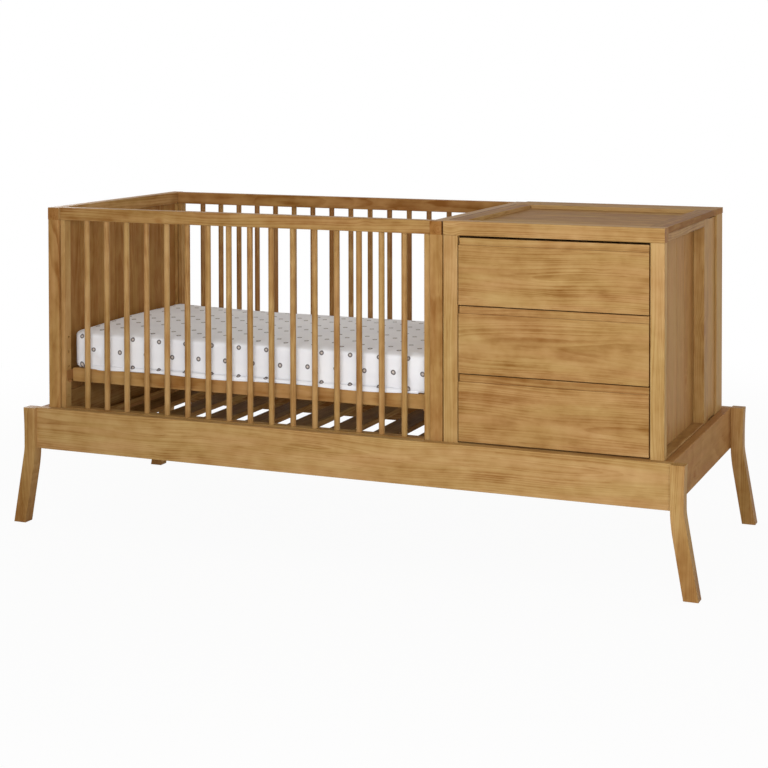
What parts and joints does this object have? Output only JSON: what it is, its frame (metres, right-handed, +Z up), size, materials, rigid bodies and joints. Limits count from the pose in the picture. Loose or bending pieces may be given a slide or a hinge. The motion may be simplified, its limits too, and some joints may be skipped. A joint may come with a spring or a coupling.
{
  "type": "crib with attached changer",
  "caption": "Long pine crib with spindle gates and a mattress, joined to a drawer chest with a changing tray on top, standing in one low base with splayed legs.",
  "frame": {"origin": "on the floor, at the middle of the whole object's box", "axes": "+X along the object from the crib to the chest, +Y from the front to the back, +Z up"},
  "size_m": [2.373, 0.87, 1.072],
  "materials": {
    "pine": "satin lacquer",
    "plywood": "matt",
    "steel": "zinc plated",
    "mattress_cover": "printed cotton sheet"
  },
  "bodies": {
    "crib": {"front_apron": "pine", "back_apron": "pine", "side_aprons": "pine", "front_legs": "pine", "back_legs": "pine", "corner_blocks": "pine", "leg_bolts": "steel", "deck_ledgers": "pine", "deck_slats": "pine", "left_end_top_rail": "pine", "left_end_posts": "pine", "left_end_boards": "pine", "left_end_bottom_rail": "pine", "middle_end_top_rail": "pine", "middle_end_posts": "pine", "middle_end_boards": "pine", "middle_end_bottom_rail": "pine", "front_gate_top_rail": "pine", "front_gate_bottom_rail": "pine", "front_gate_stiles": "pine", "front_gate_spindles": "pine", "back_gate_top_rail": "pine", "back_gate_bottom_rail": "pine", "back_gate_stiles": "pine", "back_gate_spindles": "pine", "frame_bolts": "steel", "support_pegs": "steel", "chest_left_side": "plywood", "chest_stiles": "pine", "chest_bottom_rail": "pine", "chest_bottom_panel": "plywood", "chest_back_panel": "plywood", "chest_right_boards": "pine", "chest_right_rails": "pine", "chest_middle_post": "pine", "chest_rear_panel": "pine", "chest_corner_post": "pine", "top_front_rail": "pine", "top_side_rails": "pine", "top_back_rail": "pine", "changing_tray": "pine", "runner_packers": "pine", "cabinet_runners": "steel"},
    "drawer_top": {"drawer_top_front": "pine", "drawer_top_box": "plywood", "drawer_top_bottom": "plywood", "drawer_top_slides": "steel"},
    "drawer_middle": {"drawer_middle_front": "pine", "drawer_middle_box": "plywood", "drawer_middle_bottom": "plywood", "drawer_middle_slides": "steel"},
    "drawer_bottom": {"drawer_bottom_front": "pine", "drawer_bottom_box": "plywood", "drawer_bottom_bottom": "plywood", "drawer_bottom_slides": "steel"},
    "mattress_support": {"support_long_rails": "pine", "support_end_rails": "pine", "support_slats": "pine", "support_hangers": "steel"},
    "mattress": {"mattress": "mattress_cover"}
  },
  "joints": [
    {"name": "drawer_top_slide", "type": "slide", "parent": "crib", "child": "drawer_top", "axis": [0, -1, 0], "range_m": [0, 0.34]},
    {"name": "drawer_middle_slide", "type": "slide", "parent": "crib", "child": "drawer_middle", "axis": [0, -1, 0], "range_m": [0, 0.34]},
    {"name": "drawer_bottom_slide", "type": "slide", "parent": "crib", "child": "drawer_bottom", "axis": [0, -1, 0], "range_m": [0, 0.34]},
    {"name": "support_lift", "type": "slide", "parent": "crib", "child": "mattress_support", "axis": [0, 0, 1], "range_m": [0, 0.2]},
    {"name": "mattress_lift", "type": "slide", "parent": "mattress_support", "child": "mattress", "axis": [0, 0, 1], "range_m": [0, 0.4]}
  ]
}
